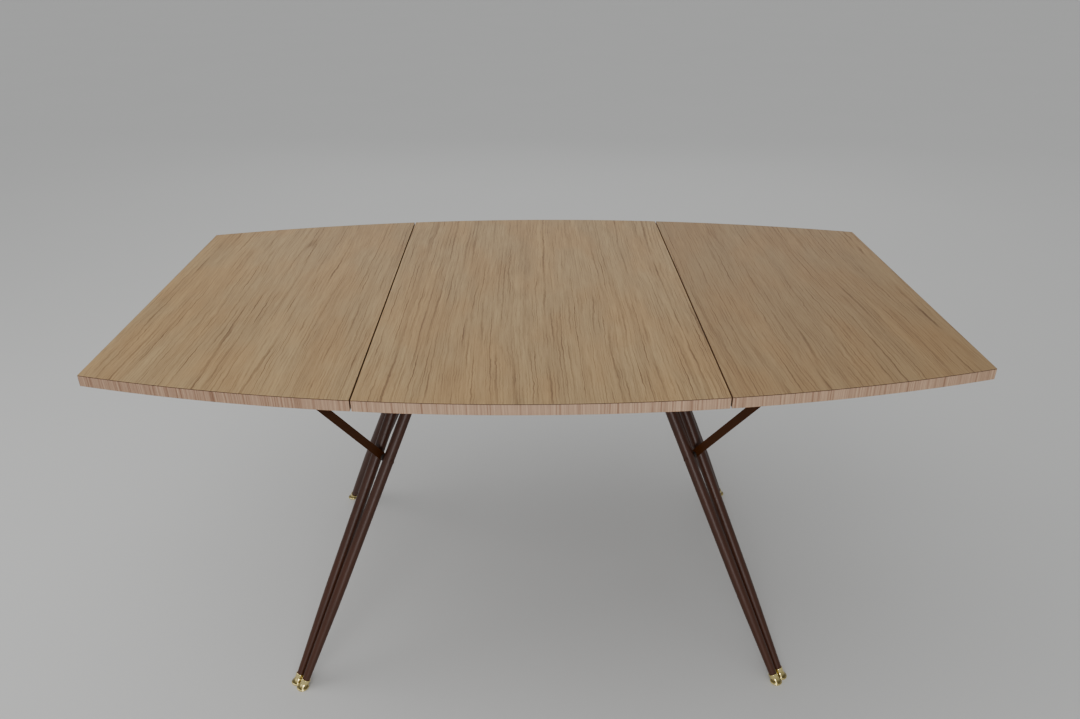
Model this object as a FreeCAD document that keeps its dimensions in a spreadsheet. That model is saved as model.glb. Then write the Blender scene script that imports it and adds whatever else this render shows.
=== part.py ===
"""Drop-leaf dining table: three boards on twin splayed legs with folding braces.

Millimetres and degrees. X runs along the table, +Y to its back, +Z up,
with the origin on the floor under the middle of the top.
"""
import FreeCAD
import Part
import math
import os
from types import SimpleNamespace

Vector = FreeCAD.Vector
Rotation = FreeCAD.Rotation
Placement = FreeCAD.Placement
UP = Vector(0, 0, 1)
SIDES = {"left": -1, "right": 1}
CORNERS = {
    "front_left": (-1, -1),
    "back_left": (-1, 1),
    "front_right": (1, -1),
    "back_right": (1, 1),
}

# Edges of a box or cylinder: upright at the low and high ends of X, along Y underneath,
# and the two rims of a cylinder
WEST_EDGES = ("Edge1", "Edge3")
EAST_EDGES = ("Edge5", "Edge7")
FOOT_EDGES = ("Edge4", "Edge8")
RIM_EDGES = ("Edge1", "Edge3")

doc = FreeCAD.newDocument("DropLeafTable")

# Driving dimensions
DIMENSIONS = (
    ("top_height", 750.0, "floor to the top surface"),
    ("top_length", 1528.0, "end to end with both leaves up"),
    ("top_width", 915.0, "across the middle of the curved edges"),
    ("end_width", 704.0, "across each straight end"),
    ("centre_length", 600.0, "seam to seam"),
    ("seam_gap", 4.0, "open gap at each seam"),
    ("sheet_thick", 1.2, "wood-grain sheet on top of each board"),
    ("core_thick", 18.0, "board"),
    ("backer_thick", 0.8, "sheet under each board"),
    ("edge_thick", 1.2, "edge strip"),
    ("glue_line", 0.3, "between a board and its edge strips"),
    ("blank_over", 10.0, "width of a blank past each curved edge, before it is cut"),
    ("foot_inset_x", 263.0, "from the table's end to the twin leg's middle at the floor"),
    ("foot_inset_y", 130.5, "from the table's widest edge to the twin leg's middle at the floor"),
    ("head_x", 203.0, "twin leg's middle at its plate, along the table"),
    ("head_y", 44.0, "twin leg's middle at its plate, across the table"),
    ("foot_spacing", 20.6, "between the axes of the two tubes at the floor"),
    ("head_spacing", 47.4, "between the axes of the two tubes at the plate"),
    ("leg_dia", 22.6, "tube above its taper"),
    ("leg_foot_dia", 14.6, "tube at the floor"),
    ("leg_taper", 210.0, "along the tube, from the floor to the top of its taper"),
    ("leg_wall", 1.2, "wall of the tube"),
    ("leg_over", 20.0, "length of a tube past its plate, before it is cut off level"),
    ("flange_dia", 24.8, "round lobe of a foot at the floor"),
    ("flange_height", 4.0, "rim of that lobe"),
    ("flange_round", 1.6, "rounding of the rim"),
    ("collar_dia", 18.4, "cup of a foot around its tube"),
    ("collar_start", 11.0, "along the tube, from the floor to the cup"),
    ("collar_end", 20.0, "along the tube, from the floor to the lip of the cup"),
    ("collar_step", 0.4, "shoulder where the flare meets the cup"),
    ("flare_sink", 1.0, "depth of the flare's ends in the rim and the cup"),
    ("socket_level", 5.0, "floor of the cup's socket"),
    ("socket_fit", 0.05, "clearance round the tube in its cup"),
    ("plate_thick", 3.0, "leg plate"),
    ("plate_margin_x", 20.0, "from the tubes to the ends of their plate, along the table"),
    ("plate_margin_y", 34.0, "from the tubes to the ends of their plate, across the table"),
    ("plate_round", 12.0, "corners of the leg plate"),
    ("plate_inset", 10.0, "from the plate's edges to its screws"),
    ("pivot_height", 450.0, "floor to the brace's rivet"),
    ("brace_angle", 53.7, "rise of a brace with its leaf up"),
    ("brace_wide", 16.0, "flat bar of the brace"),
    ("brace_thick", 3.2, "flat bar of the brace"),
    ("rivet_dia", 8.0, "shank through both tubes"),
    ("rivet_head_dia", 11.0, "low domed head of the rivet"),
    ("rivet_head_high", 1.0, "low domed head of the rivet"),
    ("rivet_fit", 0.05, "clearance round the rivet"),
    ("rivet_seat", 0.25, "from a round tube to a flat face beside it"),
    ("spacer_dia", 15.0, "sleeve between brace and tube"),
    ("spacer_fit", 0.1, "from the brace to each sleeve"),
    ("catch_thick", 2.0, "plate of a catch under a leaf"),
    ("catch_long", 66.0, "plate of a catch along its brace"),
    ("catch_wide", 30.0, "plate of a catch"),
    ("catch_round", 6.0, "corners of a catch and of its guide walls"),
    ("catch_wall", 2.0, "guide walls and lip of a catch"),
    ("catch_depth", 9.0, "guide walls of a catch"),
    ("catch_guide", 26.0, "length of the guide walls"),
    ("catch_play", 0.8, "from the brace to each guide wall"),
    ("catch_lip_reach", 10.0, "from the end of the brace to the lip"),
    ("catch_lip_depth", 2.5, "lip of a catch"),
    ("catch_screw", 26.0, "from the middle of a catch to its screws"),
    ("rest_gap", 0.3, "between a brace and its catch with the leaf up"),
    ("hinge_length", 70.0, "butt hinge along the seam"),
    ("hinge_wide", 34.0, "from the pin to the edge of a hinge leaf"),
    ("hinge_thick", 1.8, "hinge leaf"),
    ("hinge_round", 4.0, "corners of a hinge leaf"),
    ("hinge_inset", 157.5, "from the table's widest edge to the middle of an outer hinge"),
    ("knuckle_dia", 7.0, "rolled barrel"),
    ("knuckle_gap", 0.4, "between knuckles, and round a knuckle"),
    ("barrel_drop", 0.2, "from the underside to the top of the barrel"),
    ("pin_dia", 4.0, "hinge pin"),
    ("pin_fit", 0.05, "clearance round the pin"),
    ("hinge_screw_row", 21.0, "from the pin to the row of screws"),
    ("hinge_screw_pitch", 25.0, "between screws along a hinge"),
    ("screw_dia", 3.8, "shank"),
    ("screw_long", 15.0, "shank"),
    ("screw_head_dia", 7.2, "pan head"),
    ("screw_head_high", 2.0, "pan head"),
    ("screw_fit", 0.05, "clearance round the shank"),
)


def add_sheet(name, rows):
    """Keep rows of alias, number and note in a spreadsheet of that name."""
    sheet = doc.addObject("Spreadsheet::Sheet", name)
    for row, (alias, number, note) in enumerate(rows, 1):
        sheet.set(f"A{row}", alias)
        sheet.set(f"B{row}", str(number))
        sheet.set(f"C{row}", note)
        sheet.setAlias(f"B{row}", alias)
    doc.recompute()
    return {alias: float(sheet.get(alias)) for alias, _, _ in rows}


dim = SimpleNamespace(**add_sheet("Sizes", DIMENSIONS))


# Sizes that follow from the driving ones
def worked_sizes():
    sag = (dim.top_width - dim.end_width) / 2
    half = dim.top_length / 2
    underside = dim.top_height - dim.sheet_thick - dim.core_thick - dim.backer_thick
    head_level = underside - dim.plate_thick
    foot_x = half - dim.foot_inset_x
    foot_y = dim.top_width / 2 - dim.foot_inset_y
    splay_run = math.hypot(foot_x - dim.head_x, foot_y - dim.head_y)
    spread = (dim.head_spacing - dim.foot_spacing) / 2
    leg_length = math.hypot(splay_run, head_level, spread)
    twin_x = dim.head_spacing / 2 * (foot_y - dim.head_y) / splay_run
    twin_y = dim.head_spacing / 2 * (foot_x - dim.head_x) / splay_run
    tube = dim.leg_dia / 2
    share = dim.pivot_height / head_level
    pivot_spacing = dim.foot_spacing + (dim.head_spacing - dim.foot_spacing) * share
    swell = min(share * leg_length / dim.leg_taper, 1)
    pivot_tube = dim.leg_foot_dia + (dim.leg_dia - dim.leg_foot_dia) * swell
    twin_wide = (pivot_spacing + pivot_tube) / 2
    twin_gap = (pivot_spacing - pivot_tube) / 2
    brace_end = underside - dim.catch_thick - dim.rest_gap - dim.brace_wide / 2
    rise = brace_end - dim.pivot_height
    spacer_start = dim.brace_thick / 2 + dim.spacer_fit
    cap = dim.rivet_head_high
    rivet_ball = ((dim.rivet_head_dia / 2) ** 2 + cap ** 2) / (2 * cap)
    wide = dim.flange_dia / 2 - dim.flange_round
    slim = dim.collar_dia / 2 - dim.collar_step
    return (
        ("edge_radius", (half ** 2 + sag ** 2) / (2 * sag), "long curved edges"),
        ("centre_board", dim.centre_length - dim.seam_gap, "centre board along the table"),
        ("leaf_board", half - (dim.centre_length + dim.seam_gap) / 2, "leaf along the table"),
        ("core_inset", dim.edge_thick + dim.glue_line, "from a board's edge to its core"),
        ("underside", underside, "floor to the underside"),
        ("core_level", underside + dim.backer_thick, "floor to the boards"),
        ("sheet_level", dim.top_height - dim.sheet_thick, "floor to the top sheets"),
        ("head_level", head_level, "floor to the leg plates"),
        ("foot_x", foot_x, "twin leg's middle at the floor, along the table"),
        ("foot_y", foot_y, "twin leg's middle at the floor, across the table"),
        ("leg_length", leg_length, "along a tube's axis"),
        ("plate_wide", 2 * (twin_x + tube + dim.plate_margin_x), "leg plate along the table"),
        ("plate_long", 2 * (dim.head_y + twin_y + tube + dim.plate_margin_y), "leg plate across"),
        ("pivot_spacing", pivot_spacing, "between tube axes at the rivet"),
        ("rivet_reach", twin_wide + dim.rivet_seat, "from the brace to each rivet head"),
        ("rivet_ball", rivet_ball, "radius of the rivet head's dome"),
        ("rivet_edge", math.degrees(math.asin(1 - cap / rivet_ball)), "latitude of its edge"),
        ("spacer_start", spacer_start, "from the brace's middle to a sleeve"),
        ("spacer_length", twin_gap - dim.rivet_seat - spacer_start, "sleeve"),
        ("flare_wide", wide, "flare of a cup at its rim"),
        ("flare_mid", slim + (wide - slim) / 5, "flare of a cup halfway"),
        ("flare_slim", slim, "flare of a cup at its collar"),
        ("brace_reach", rise / math.sin(math.radians(dim.brace_angle)), "rivet to end"),
        ("hinge_level", underside - dim.barrel_drop - dim.knuckle_dia / 2, "hinge axis"),
        ("hinge_x", dim.centre_length / 2, "hinge axis"),
        ("hinge_pitch", dim.top_width / 2 - dim.hinge_inset, "between hinges along a seam"),
        ("knuckle_length", dim.hinge_length / 3 - dim.knuckle_gap, "one knuckle of three"),
        ("knuckle_clear", dim.knuckle_dia / 2 + dim.knuckle_gap, "from the pin to a notch"),
    )


got = SimpleNamespace(**add_sheet("Worked", worked_sizes()))
nodes = []


# Helpers
def add(kind, name, place=None, **expressions):
    """Add an object, bind its sizes to the sheets and put it in place."""
    item = doc.addObject(kind, name)
    for prop, text in expressions.items():
        item.setExpression(prop, text)
    if place is not None:
        item.Placement = place
    return item


def at(x, y, z):
    return Placement(Vector(x, y, z), Rotation())


def along(point, direction):
    """Placement at a point with the local Z axis along a direction."""
    return Placement(point, Rotation(UP, direction))


def cut(name, base, tool):
    result = add("Part::Cut", name)
    result.Base = base
    result.Tool = tool
    return result


def common(name, pieces):
    result = add("Part::MultiCommon", name)
    result.Shapes = pieces
    return result


def fuse(name, pieces):
    result = add("Part::MultiFuse", name)
    result.Shapes = pieces
    result.Refine = True
    return result


def group(name, pieces):
    result = add("Part::Compound", name)
    result.Links = pieces
    return result


def loft(name, sections, ruled=False):
    result = add("Part::Loft", name)
    result.Sections = sections
    result.Solid = True
    result.Ruled = ruled
    return result


def rounded(name, base, edges, radius):
    result = add("Part::Fillet", name)
    result.Base = base
    result.Edges = [(int(edge.removeprefix("Edge")), radius, radius) for edge in edges]
    return result


def keep(label, item):
    """Count a finished object as the sub-part of that label."""
    item.Label = label
    nodes.append(item)
    return item


# Screws, all driven upwards into the boards
def screw(name, seat):
    shank = add("Part::Cylinder", name + "_shank", Placement(seat, Rotation()),
                Radius="Sizes.screw_dia / 2", Height="Sizes.screw_long")
    head = add("Part::Cylinder", name + "_head",
               Placement(seat - UP * dim.screw_head_high, Rotation()),
               Radius="Sizes.screw_head_dia / 2", Height="Sizes.screw_head_high")
    return fuse(name, [head, shank])


def drill(name, seat):
    return add("Part::Cylinder", name, Placement(seat, Rotation()),
               Radius="Sizes.screw_dia / 2 + Sizes.screw_fit",
               Height="Sizes.screw_long + Sizes.screw_fit")


def drills(name, seats):
    return group(name, [drill(f"{name}_{i}", seat) for i, seat in enumerate(seats)])


def screws(label, seats):
    return keep(label, group(label, [screw(f"{label}_{i}", s) for i, s in enumerate(seats)]))


# Boards, sheets and edge strips: a blank between two large arcs
def disc(name, side, inset, thick, level):
    """Round blank whose rim is one long edge of the top, less an inset."""
    middle = side * (dim.top_width / 2 - got.edge_radius)
    return add("Part::Cylinder", name, at(0, middle, level),
               Radius=f"Worked.edge_radius - {inset}", Height=thick)


def panel(name, start, length, inset, thick, level):
    """Slab of that length from start along the table, between the two curved edges."""
    blank = add("Part::Box", name + "_blank",
                at(start, -dim.top_width / 2 - dim.blank_over, level), Length=length,
                Width="Sizes.top_width + 2 * Sizes.blank_over", Height=thick)
    discs = [disc(f"{name}_{word}", side, inset, thick, level)
             for word, side in (("front", -1), ("back", 1))]
    return common(name, [blank] + discs)


def curved_strip(name, start, length, side):
    """Edge strip bent round one long edge of a board."""
    thick = "Sizes.core_thick + Sizes.backer_thick"
    rim = disc(name + "_rim", side, "0", thick, got.underside)
    board = disc(name + "_board", side, "Sizes.edge_thick", thick, got.underside)
    ring = cut(name + "_ring", rim, board)
    south = 0 if side > 0 else -dim.top_width / 2 - dim.blank_over
    blank = add("Part::Box", name + "_blank", at(start, south, got.underside), Length=length,
                Width="Sizes.top_width / 2 + Sizes.blank_over", Height=thick)
    return keep(name, common(name, [ring, blank]))


def straight_strip(name, start):
    """Edge strip on a straight edge, between the two curved strips."""
    thick = "Sizes.core_thick + Sizes.backer_thick"
    return keep(name, panel(name, start, "Sizes.edge_thick", "Worked.core_inset", thick,
                            got.underside))


def board_stack(name, start, length, holes):
    """Backing sheet, drilled core, top sheet and curved strips of one board."""
    inner = (start + got.core_inset, length + " - 2 * Worked.core_inset", "Worked.core_inset")
    backer = panel(name + "_backer_slab", *inner, "Sizes.backer_thick", got.underside)
    core = panel(name + "_core_slab", *inner, "Sizes.core_thick", got.core_level)
    keep(name + "_backer", cut(name + "_backer", backer, holes))
    keep(name + "_core", cut(name + "_core", core, holes))
    keep(name + "_top_sheet",
         panel(name + "_top_sheet", start, length, "0", "Sizes.sheet_thick", got.sheet_level))
    for word, side in (("front", -1), ("back", 1)):
        curved_strip(f"{name}_{word}_edge", start, length, side)


# Twin legs: where each corner's tubes, brace and catch lie
def corner_frame(side_x, side_y):
    foot = Vector(side_x * got.foot_x, side_y * got.foot_y, 0)
    head = Vector(side_x * dim.head_x, side_y * dim.head_y, got.head_level)
    out = Vector(foot.x - head.x, foot.y - head.y, 0)
    out.normalize()
    across = Vector(side_x * abs(out.y), -side_y * abs(out.x), 0)
    pivot = foot + (head - foot) * (dim.pivot_height / got.head_level)
    angle = math.radians(dim.brace_angle)
    along_brace = out * math.cos(angle) + UP * math.sin(angle)
    end = pivot + along_brace * got.brace_reach
    catch = Vector(end.x, end.y, got.underside)
    tubes = {}
    for word, sign in (("outer", 1), ("inner", -1)):
        low = foot + across * (sign * dim.foot_spacing / 2)
        high = head + across * (sign * dim.head_spacing / 2)
        tubes[word] = (low, high)
    return SimpleNamespace(foot=foot, head=head, out=out, across=across, pivot=pivot,
                           along_brace=along_brace, end=end, catch=catch, tubes=tubes)


def tube_blank(name, frame, word, change):
    """Blank tapered from the floor, then straight to past the plate, its radius changed."""
    low, high = frame.tubes[word]
    axis = high - low
    axis.normalize()
    turn = Rotation(frame.out, frame.across, axis, "ZXY")
    rings = [add("Part::Circle", f"{name}_{place}", Placement(low + axis * step, turn),
                 Radius=f"{size} / 2 + {change}")
             for place, step, size in (
                 ("foot", 0, "Sizes.leg_foot_dia"),
                 ("swell", dim.leg_taper, "Sizes.leg_dia"),
                 ("head", got.leg_length + dim.leg_over, "Sizes.leg_dia"))]
    return loft(name, rings, ruled=True)


def leg_tube(name, frame, word):
    outside = tube_blank(name + "_outside", frame, word, "0")
    inside = tube_blank(name + "_inside", frame, word, "-Sizes.leg_wall")
    hole = add("Part::Cylinder", name + "_hole",
               along(frame.pivot - frame.across * got.pivot_spacing, frame.across),
               Radius="Sizes.rivet_dia / 2 + Sizes.rivet_fit", Height="2 * Worked.pivot_spacing")
    drilled = cut(name + "_drilled", cut(name + "_wall", outside, inside), hole)
    room = add("Part::Box", name + "_room",
               at(-dim.top_length / 2, -dim.top_width / 2, dim.socket_level),
               Length="Sizes.top_length", Width="Sizes.top_width",
               Height="Worked.head_level - Sizes.socket_level")
    return keep(name, common(name, [drilled, room]))


# Brass twin foot: two flared cups whose rims run into each other
def cup(name, low, high):
    """Rim on the floor, concave flare and collar of one cup."""
    axis = high - low
    axis.normalize()
    rim = add("Part::Cylinder", name + "_rim", Placement(low, Rotation()),
              Radius="Sizes.flange_dia / 2", Height="Sizes.flange_height")
    tilt = Rotation(UP, axis)
    half_tilt = Rotation(UP, axis + UP)
    start = UP * (dim.flange_height - dim.flare_sink)
    stop = axis * (dim.collar_start + dim.flare_sink)
    rings = [add("Part::Circle", f"{name}_{word}", Placement(low + place, turn),
                 Radius="Worked.flare_" + word)
             for word, place, turn in (("wide", start, Rotation()),
                                       ("mid", (start + stop) / 2, half_tilt),
                                       ("slim", stop, tilt))]
    collar = add("Part::Cylinder", name + "_collar", along(low + axis * dim.collar_start, axis),
                 Radius="Sizes.collar_dia / 2", Height="Sizes.collar_end - Sizes.collar_start")
    return [rounded(name + "_rounded", rim, RIM_EDGES, dim.flange_round),
            loft(name + "_flare", rings), collar]


def twin_foot(name, frame):
    rims = []
    uppers = []
    sockets = []
    for word, (low, high) in frame.tubes.items():
        rim, flare, collar = cup(f"{name}_{word}", low, high)
        rims.append(rim)
        uppers += [flare, collar]
        blank = tube_blank(f"{name}_{word}_tube", frame, word, "Sizes.socket_fit")
        room = add("Part::Box", f"{name}_{word}_room",
                   at(low.x - 2 * dim.flange_dia, low.y - 2 * dim.flange_dia, dim.socket_level),
                   Length="4 * Sizes.flange_dia", Width="4 * Sizes.flange_dia",
                   Height="Sizes.collar_end")
        sockets.append(common(f"{name}_{word}_socket", [blank, room]))
    body = fuse(name + "_body", [fuse(name + "_rims", rims)] + uppers)
    return keep(name, cut(name, body, group(name + "_sockets", sockets)))


# Leg plates under the centre board, one for the two twin legs of each end
def plate_seats(side):
    wide = got.plate_wide / 2 - dim.plate_inset
    long = got.plate_long / 2 - dim.plate_inset
    return [Vector(side * dim.head_x + i * wide, j * long, got.head_level)
            for i in (-1, 1) for j in (-1, 0, 1)]


def leg_plate(name, side, holes):
    place = at(side * dim.head_x - got.plate_wide / 2, -got.plate_long / 2, got.head_level)
    blank = add("Part::Box", name + "_blank", place, Length="Worked.plate_wide",
                Width="Worked.plate_long", Height="Sizes.plate_thick")
    plate = rounded(name + "_rounded", blank, WEST_EDGES + EAST_EDGES, dim.plate_round)
    return keep(name, cut(name, plate, holes))


# Rivet and sleeves that carry a brace between the tubes
def rivet(name, frame):
    shank = add("Part::Cylinder", name + "_shank",
                along(frame.pivot - frame.across * got.rivet_reach, frame.across),
                Radius="Sizes.rivet_dia / 2", Height="2 * Worked.rivet_reach")
    centre = got.rivet_reach + dim.rivet_head_high - got.rivet_ball
    heads = [add("Part::Sphere", f"{name}_{word}",
                 along(frame.pivot + frame.across * (sign * centre), frame.across * sign),
                 Radius="Worked.rivet_ball", Angle1="Worked.rivet_edge")
             for word, sign in (("outer_head", 1), ("inner_head", -1))]
    return fuse(name, [shank] + heads)


def spacers(name, frame):
    sleeves = []
    for word, sign in (("outer", 1), ("inner", -1)):
        place = along(frame.pivot + frame.across * (sign * got.spacer_start), frame.across * sign)
        sleeve = add("Part::Cylinder", f"{name}_{word}", place,
                     Radius="Sizes.spacer_dia / 2", Height="Worked.spacer_length")
        bore = add("Part::Cylinder", f"{name}_{word}_bore", place,
                   Radius="Sizes.rivet_dia / 2 + Sizes.rivet_fit", Height="Worked.spacer_length")
        sleeves.append(cut(f"{name}_{word}_sleeve", sleeve, bore))
    return sleeves


# Brace: a flat bar with round ends, and its catch under the leaf
def brace(name, frame):
    side = frame.out.cross(UP)
    rise = side.cross(frame.along_brace)
    corner = frame.pivot - rise * (dim.brace_wide / 2) - side * (dim.brace_thick / 2)
    bar = add("Part::Box", name + "_bar",
              Placement(corner, Rotation(frame.along_brace, rise, side, "ZXY")),
              Length="Worked.brace_reach", Width="Sizes.brace_wide", Height="Sizes.brace_thick")
    ends = [add("Part::Cylinder", f"{name}_{word}",
                along(point - side * (dim.brace_thick / 2), side),
                Radius="Sizes.brace_wide / 2", Height="Sizes.brace_thick")
            for word, point in (("eye", frame.pivot), ("tip", frame.end))]
    hole = add("Part::Cylinder", name + "_hole",
               along(frame.pivot - side * dim.brace_thick, side),
               Radius="Sizes.rivet_dia / 2 + Sizes.rivet_fit", Height="2 * Sizes.brace_thick")
    return keep(name, cut(name, fuse(name + "_blank", [bar] + ends), hole))


def catch_seats(frame):
    below = frame.catch - UP * dim.catch_thick
    return [below + frame.out * (sign * dim.catch_screw) for sign in (-1, 1)]


def catch(name, frame, holes):
    """Plate, two guide walls beside the brace and a low lip beyond its end."""
    side = UP.cross(frame.out)
    turn = Rotation(frame.out, side, UP, "ZXY")

    def block(word, start, offset, level, **sizes):
        corner = frame.catch + frame.out * start + side * offset - UP * level
        return add("Part::Box", f"{name}_{word}", Placement(corner, turn), **sizes)

    gap = dim.brace_thick / 2 + dim.catch_play
    low = dim.catch_thick + dim.catch_depth
    plate = block("plate", -dim.catch_long / 2, -dim.catch_wide / 2, dim.catch_thick,
                  Length="Sizes.catch_long", Width="Sizes.catch_wide", Height="Sizes.catch_thick")
    walls = [block(word, -dim.catch_guide / 2, offset, low, Length="Sizes.catch_guide",
                   Width="Sizes.catch_wall", Height="Sizes.catch_depth")
             for word, offset in (("wall_a", gap), ("wall_b", -gap - dim.catch_wall))]
    pieces = [rounded(name + "_plate_rounded", plate, WEST_EDGES + EAST_EDGES, dim.catch_round)]
    pieces += [rounded(wall.Name + "_rounded", wall, FOOT_EDGES, dim.catch_round) for wall in walls]
    lip = block("lip", dim.catch_lip_reach, -gap, dim.catch_thick + dim.catch_lip_depth,
                Length="Sizes.catch_wall", Height="Sizes.catch_lip_depth",
                Width="Sizes.brace_thick + 2 * Sizes.catch_play")
    return keep(name, cut(name, fuse(name + "_blank", pieces + [lip]), holes))


# Butt hinges under the seams
def hinge_places():
    return [row * got.hinge_pitch for row in (-1, 0, 1)]


def hinge_seats(way, side):
    """Screw seats of one seam's hinge leaves; way is +1 towards the leaf."""
    x = side * (got.hinge_x + way * dim.hinge_screw_row)
    level = got.underside - dim.hinge_thick
    return [Vector(x, place + row * dim.hinge_screw_pitch, level)
            for place in hinge_places() for row in (-1, 0, 1)]


def hinge_leaf(name, side, way, place, rows):
    """Flat leaf with rolled knuckles in the given rows, -1, 0 or +1 along the pin."""
    facing = side * way
    pin_x = side * got.hinge_x
    level = got.underside - dim.hinge_thick
    start = got.knuckle_clear if facing > 0 else -dim.hinge_wide
    flat = add("Part::Box", name + "_flat",
               at(pin_x + start, place - dim.hinge_length / 2, level),
               Length="Sizes.hinge_wide - Worked.knuckle_clear", Width="Sizes.hinge_length",
               Height="Sizes.hinge_thick")
    corners = EAST_EDGES if facing > 0 else WEST_EDGES
    pieces = [rounded(name + "_rounded", flat, corners, dim.hinge_round)]
    for row in rows:
        south = place + row * dim.hinge_length / 3 - got.knuckle_length / 2
        west = pin_x if facing > 0 else pin_x - got.knuckle_clear
        pieces.append(add("Part::Box", f"{name}_tongue_{row + 1}", at(west, south, level),
                          Length="Worked.knuckle_clear", Width="Worked.knuckle_length",
                          Height="Sizes.hinge_thick"))
        pieces.append(add("Part::Cylinder", f"{name}_knuckle_{row + 1}",
                          along(Vector(pin_x, south, got.hinge_level), Vector(0, 1, 0)),
                          Radius="Sizes.knuckle_dia / 2", Height="Worked.knuckle_length"))
    bore = hinge_pin(name + "_bore", side, place, "Sizes.pin_fit")
    return cut(name, fuse(name + "_blank", pieces), bore)


def hinge_pin(name, side, place, change):
    start = Vector(side * got.hinge_x, place - dim.hinge_length / 2, got.hinge_level)
    return add("Part::Cylinder", name, along(start, Vector(0, 1, 0)),
               Radius=f"Sizes.pin_dia / 2 + {change}", Height="Sizes.hinge_length")


def hinge_leaves(label, side, way, rows, holes):
    leaves = [hinge_leaf(f"{label}_{i}", side, way, place, rows)
              for i, place in enumerate(hinge_places())]
    return keep(label, cut(label, group(label + "_blank", leaves), holes))


# Build
frames = {corner: corner_frame(*signs) for corner, signs in CORNERS.items()}

base_seats = []
for corner, frame in frames.items():
    for word in frame.tubes:
        leg_tube(f"{corner}_{word}_tube", frame, word)
    twin_foot(corner + "_foot", frame)
    brace(corner + "_brace", frame)

keep("pivot_rivets", group("pivot_rivets", [rivet(c + "_rivet", f) for c, f in frames.items()]))
sleeves = [sleeve for c, f in frames.items() for sleeve in spacers(c + "_spacer", f)]
keep("pivot_spacers", group("pivot_spacers", sleeves))

seam_inner = (dim.centre_length - dim.seam_gap) / 2
seam_outer = (dim.centre_length + dim.seam_gap) / 2
end = dim.top_length / 2

pins = []
for word, side in SIDES.items():
    leaf = word + "_leaf"
    under_plate = plate_seats(side)
    fixed = hinge_seats(-1, side)
    moving = hinge_seats(1, side)
    base_seats += under_plate + fixed
    leg_plate(word + "_leg_plate", side, drills(word + "_plate_holes", under_plate))
    hinge_leaves(word + "_hinge_fixed_leaves", side, -1, (-1, 1),
                 drills(word + "_fixed_holes", fixed))
    hinge_leaves(word + "_hinge_moving_leaves", side, 1, (0,),
                 drills(word + "_moving_holes", moving))
    pins += [hinge_pin(f"{word}_pin_{i}", side, p, "0") for i, p in enumerate(hinge_places())]
    leaf_seats = list(moving)
    for depth in ("front", "back"):
        frame = frames[f"{depth}_{word}"]
        seats = catch_seats(frame)
        leaf_seats += seats
        catch(f"{depth}_{word}_catch", frame, drills(f"{depth}_{word}_catch_holes", seats))
    board_stack(leaf, min(side * seam_outer, side * end), "Worked.leaf_board",
                drills(leaf + "_holes", leaf_seats))
    strip = side * dim.edge_thick
    straight_strip(leaf + "_seam_edge", min(side * seam_outer, side * seam_outer + strip))
    straight_strip(leaf + "_end_edge", min(side * end, side * end - strip))
    straight_strip(f"centre_{word}_seam_edge", min(side * seam_inner, side * seam_inner - strip))
    screws(leaf + "_screws", leaf_seats)

keep("hinge_pins", group("hinge_pins", pins))
board_stack("centre", -seam_inner, "Worked.centre_board", drills("centre_holes", base_seats))
screws("base_screws", base_seats)

doc.recompute()


# Check and write
def check(item):
    if "Invalid" in item.State or "Error" in item.State:
        raise RuntimeError(f"{item.Label} failed: {item.State}")


for item in doc.Objects:
    check(item)
for item in nodes:
    if item.Shape.isNull() or not item.Shape.isValid() or not item.Shape.Solids:
        raise RuntimeError(f"{item.Label} has no valid solid")

os.makedirs("parts", exist_ok=True)
for item in nodes:
    item.Shape.exportStep(f"parts/{item.Label}.step")
    print(item.Label, len(item.Shape.Solids), round(item.Shape.Volume / 1000, 2), "cm3")
print(len(nodes), "nodes")
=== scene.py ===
"""Drop-leaf dining table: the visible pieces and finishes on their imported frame.

Metres, with +X along the table, +Y to its back and +Z up, as in the frame.
"""
import math
from types import SimpleNamespace

import bmesh
import bpy
from mathutils import Matrix, Vector


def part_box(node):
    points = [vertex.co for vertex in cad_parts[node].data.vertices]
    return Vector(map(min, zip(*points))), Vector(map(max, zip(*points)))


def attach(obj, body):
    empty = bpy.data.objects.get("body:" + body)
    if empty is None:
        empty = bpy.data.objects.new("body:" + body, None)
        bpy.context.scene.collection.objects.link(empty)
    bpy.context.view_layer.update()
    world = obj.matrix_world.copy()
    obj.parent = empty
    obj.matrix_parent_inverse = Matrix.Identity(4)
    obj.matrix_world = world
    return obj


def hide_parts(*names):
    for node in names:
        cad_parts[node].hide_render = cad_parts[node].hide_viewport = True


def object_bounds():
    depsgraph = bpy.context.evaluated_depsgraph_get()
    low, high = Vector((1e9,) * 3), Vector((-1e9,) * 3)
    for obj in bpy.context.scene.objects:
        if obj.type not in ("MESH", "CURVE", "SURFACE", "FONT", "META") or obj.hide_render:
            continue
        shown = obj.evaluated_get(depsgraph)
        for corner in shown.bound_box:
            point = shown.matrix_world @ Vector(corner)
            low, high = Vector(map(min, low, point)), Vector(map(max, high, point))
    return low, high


bl_info = {
    "name": "Drop-leaf dining table",
    "version": (1, 0, 0),
    "blender": (4, 5, 0),
    "location": "3D View > Sidebar > Table",
    "description": "Grain sheets, edge strips, twin legs, brass feet and fittings of a table",
    "category": "Object",
}

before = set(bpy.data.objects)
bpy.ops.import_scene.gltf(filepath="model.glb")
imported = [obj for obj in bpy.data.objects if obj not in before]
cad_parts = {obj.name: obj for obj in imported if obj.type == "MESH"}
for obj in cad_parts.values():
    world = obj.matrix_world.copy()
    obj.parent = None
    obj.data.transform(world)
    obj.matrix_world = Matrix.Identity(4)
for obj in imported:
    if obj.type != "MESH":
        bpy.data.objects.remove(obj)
CAD_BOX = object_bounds()
UP = Vector((0, 0, 1))
SIDES = {"left": -1, "right": 1}
CORNERS = {"front_left": (-1, -1), "back_left": (-1, 1), "front_right": (1, -1), "back_right": (1, 1)}

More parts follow.
